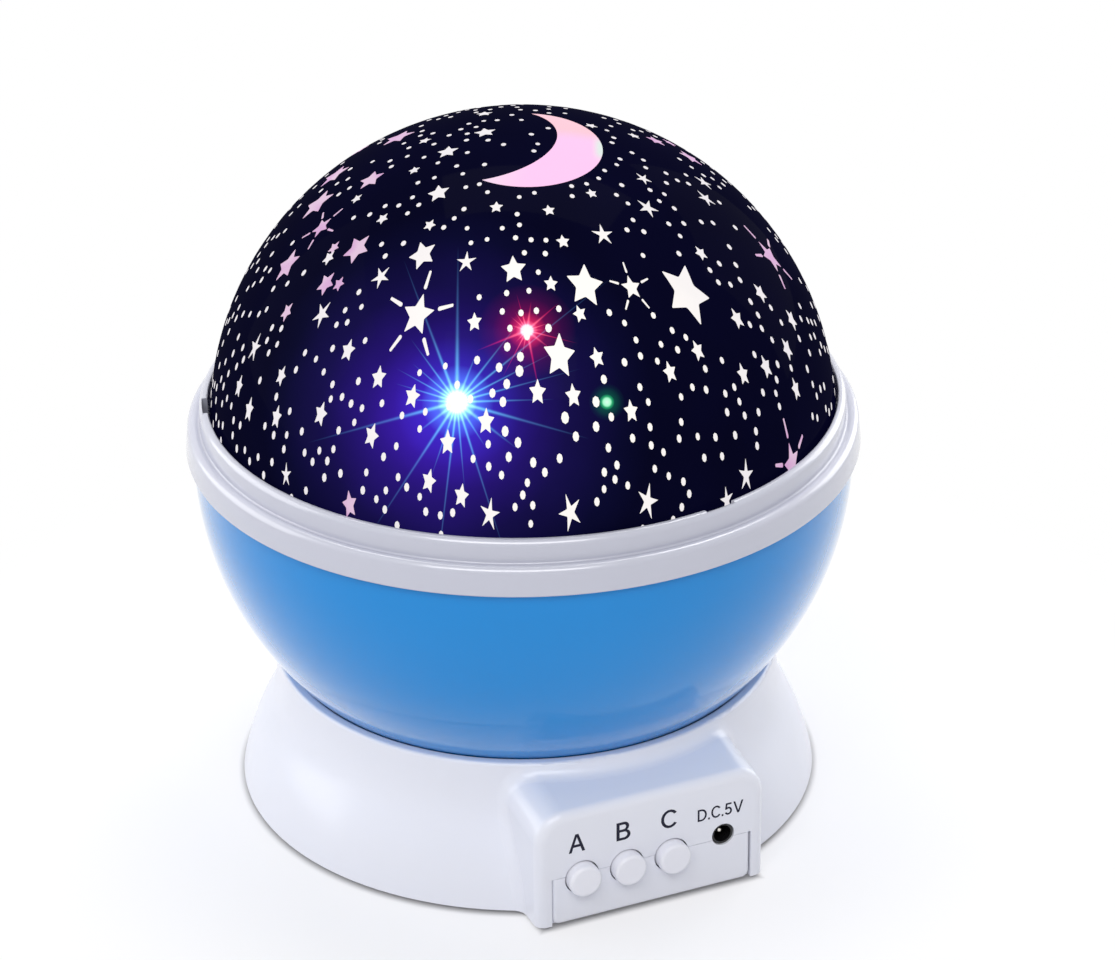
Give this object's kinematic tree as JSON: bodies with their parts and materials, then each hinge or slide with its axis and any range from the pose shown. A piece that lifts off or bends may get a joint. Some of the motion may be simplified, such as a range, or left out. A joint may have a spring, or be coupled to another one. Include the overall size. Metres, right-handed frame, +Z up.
{
  "type": "star night light projector",
  "caption": "Ball-shaped night light with a printed star dome on a bowl that turns on a flared base with push buttons and a barrel jack.",
  "frame": {"origin": "centre of the underside, on the table below the globe's axis", "axes": "+Z up along the globe's axis; -Y towards the face of the control box; +X to the right of someone who looks at that face"},
  "size_m": [0.1318, 0.1318, 0.1384],
  "materials": {
    "dome_print": "clear shell, dark printed inside",
    "ring_white": "satin gloss",
    "bowl_blue": "high gloss",
    "base_white": "high gloss",
    "button_white": "satin, slightly milky",
    "reflector_white": "gloss",
    "inner_white": "as moulded",
    "gear_nylon": "natural nylon",
    "black_plastic": "gloss",
    "switch_grey": "as moulded",
    "board_green": "solder mask",
    "screw_steel": "zinc plated",
    "motor_steel": "plain",
    "contact_nickel": "nickel plated",
    "ring_brass": "polished",
    "foot_rubber": "matte",
    "cell_jacket": "plain sleeve",
    "led_red": "tinted epoxy",
    "led_green": "tinted epoxy",
    "led_blue": "tinted epoxy",
    "led_white": "clear epoxy, yellow phosphor"
  },
  "bodies": {
    "base": {"base_shell": "base_white", "bottom_cover": "base_white", "cover_screws": "screw_steel", "rubber_feet": "foot_rubber", "battery_door": "base_white", "door_screws": "screw_steel", "battery_cells": "cell_jacket", "contact_plates": "contact_nickel", "contact_springs": "contact_nickel", "gearbox_case": "inner_white", "gearbox_lid": "inner_white", "gearbox_screws": "screw_steel", "motor_can": "motor_steel", "motor_cap": "black_plastic", "brush_holder": "black_plastic", "brushes": "ring_brass", "thrust_washer": "gear_nylon", "retaining_washer": "screw_steel", "spindle_screw": "screw_steel", "switch_board": "board_green", "board_screws": "screw_steel", "push_switches": "switch_grey", "dc_jack": "black_plastic", "jack_pin": "contact_nickel"},
    "globe": {"rim_ring": "ring_white", "bowl": "bowl_blue", "reflector_deck": "reflector_white", "deck_screws": "screw_steel", "led_board": "board_green", "led_board_screws": "screw_steel", "led_white": "led_white", "led_red": "led_red", "led_green": "led_green", "led_blue": "led_blue", "turntable": "gear_nylon", "turntable_screws": "screw_steel", "slip_ring_board": "board_green", "slip_rings": "ring_brass"},
    "dome": {"star_dome": "dome_print"},
    "pinion": {"drive_pinion": "gear_nylon", "motor_shaft": "screw_steel"},
    "button_a": {"button_a": "button_white", "plunger_a": "inner_white"},
    "button_b": {"button_b": "button_white", "plunger_b": "inner_white"},
    "button_c": {"button_c": "button_white", "plunger_c": "inner_white"}
  },
  "joints": [
    {"name": "globe_spin", "type": "hinge", "parent": "base", "child": "globe", "pos_m": [0, 0, 0.0204], "axis": [0, 0, 1], "continuous": true},
    {"name": "pinion_spin", "type": "hinge", "parent": "base", "child": "pinion", "pos_m": [-0.021, -0.021, 0.0204], "axis": [0, 0, 1], "continuous": true},
    {"name": "dome_twist", "type": "hinge", "parent": "globe", "child": "dome", "pos_m": [0, 0, 0.0777], "axis": [0, 0, 1], "range_deg": [-13, 0]},
    {"name": "button_a_press", "type": "slide", "parent": "base", "child": "button_a", "axis": [0, 1, 0], "range_m": [0, 0.0015], "stiffness_N_per_m": 600},
    {"name": "button_b_press", "type": "slide", "parent": "base", "child": "button_b", "axis": [0, 1, 0], "range_m": [0, 0.0015], "stiffness_N_per_m": 600},
    {"name": "button_c_press", "type": "slide", "parent": "base", "child": "button_c", "axis": [0, 1, 0], "range_m": [0, 0.0015], "stiffness_N_per_m": 600}
  ],
  "couplings": [
    {"joint": "pinion_spin", "follows": "globe_spin", "ratio": -4.2857}
  ]
}
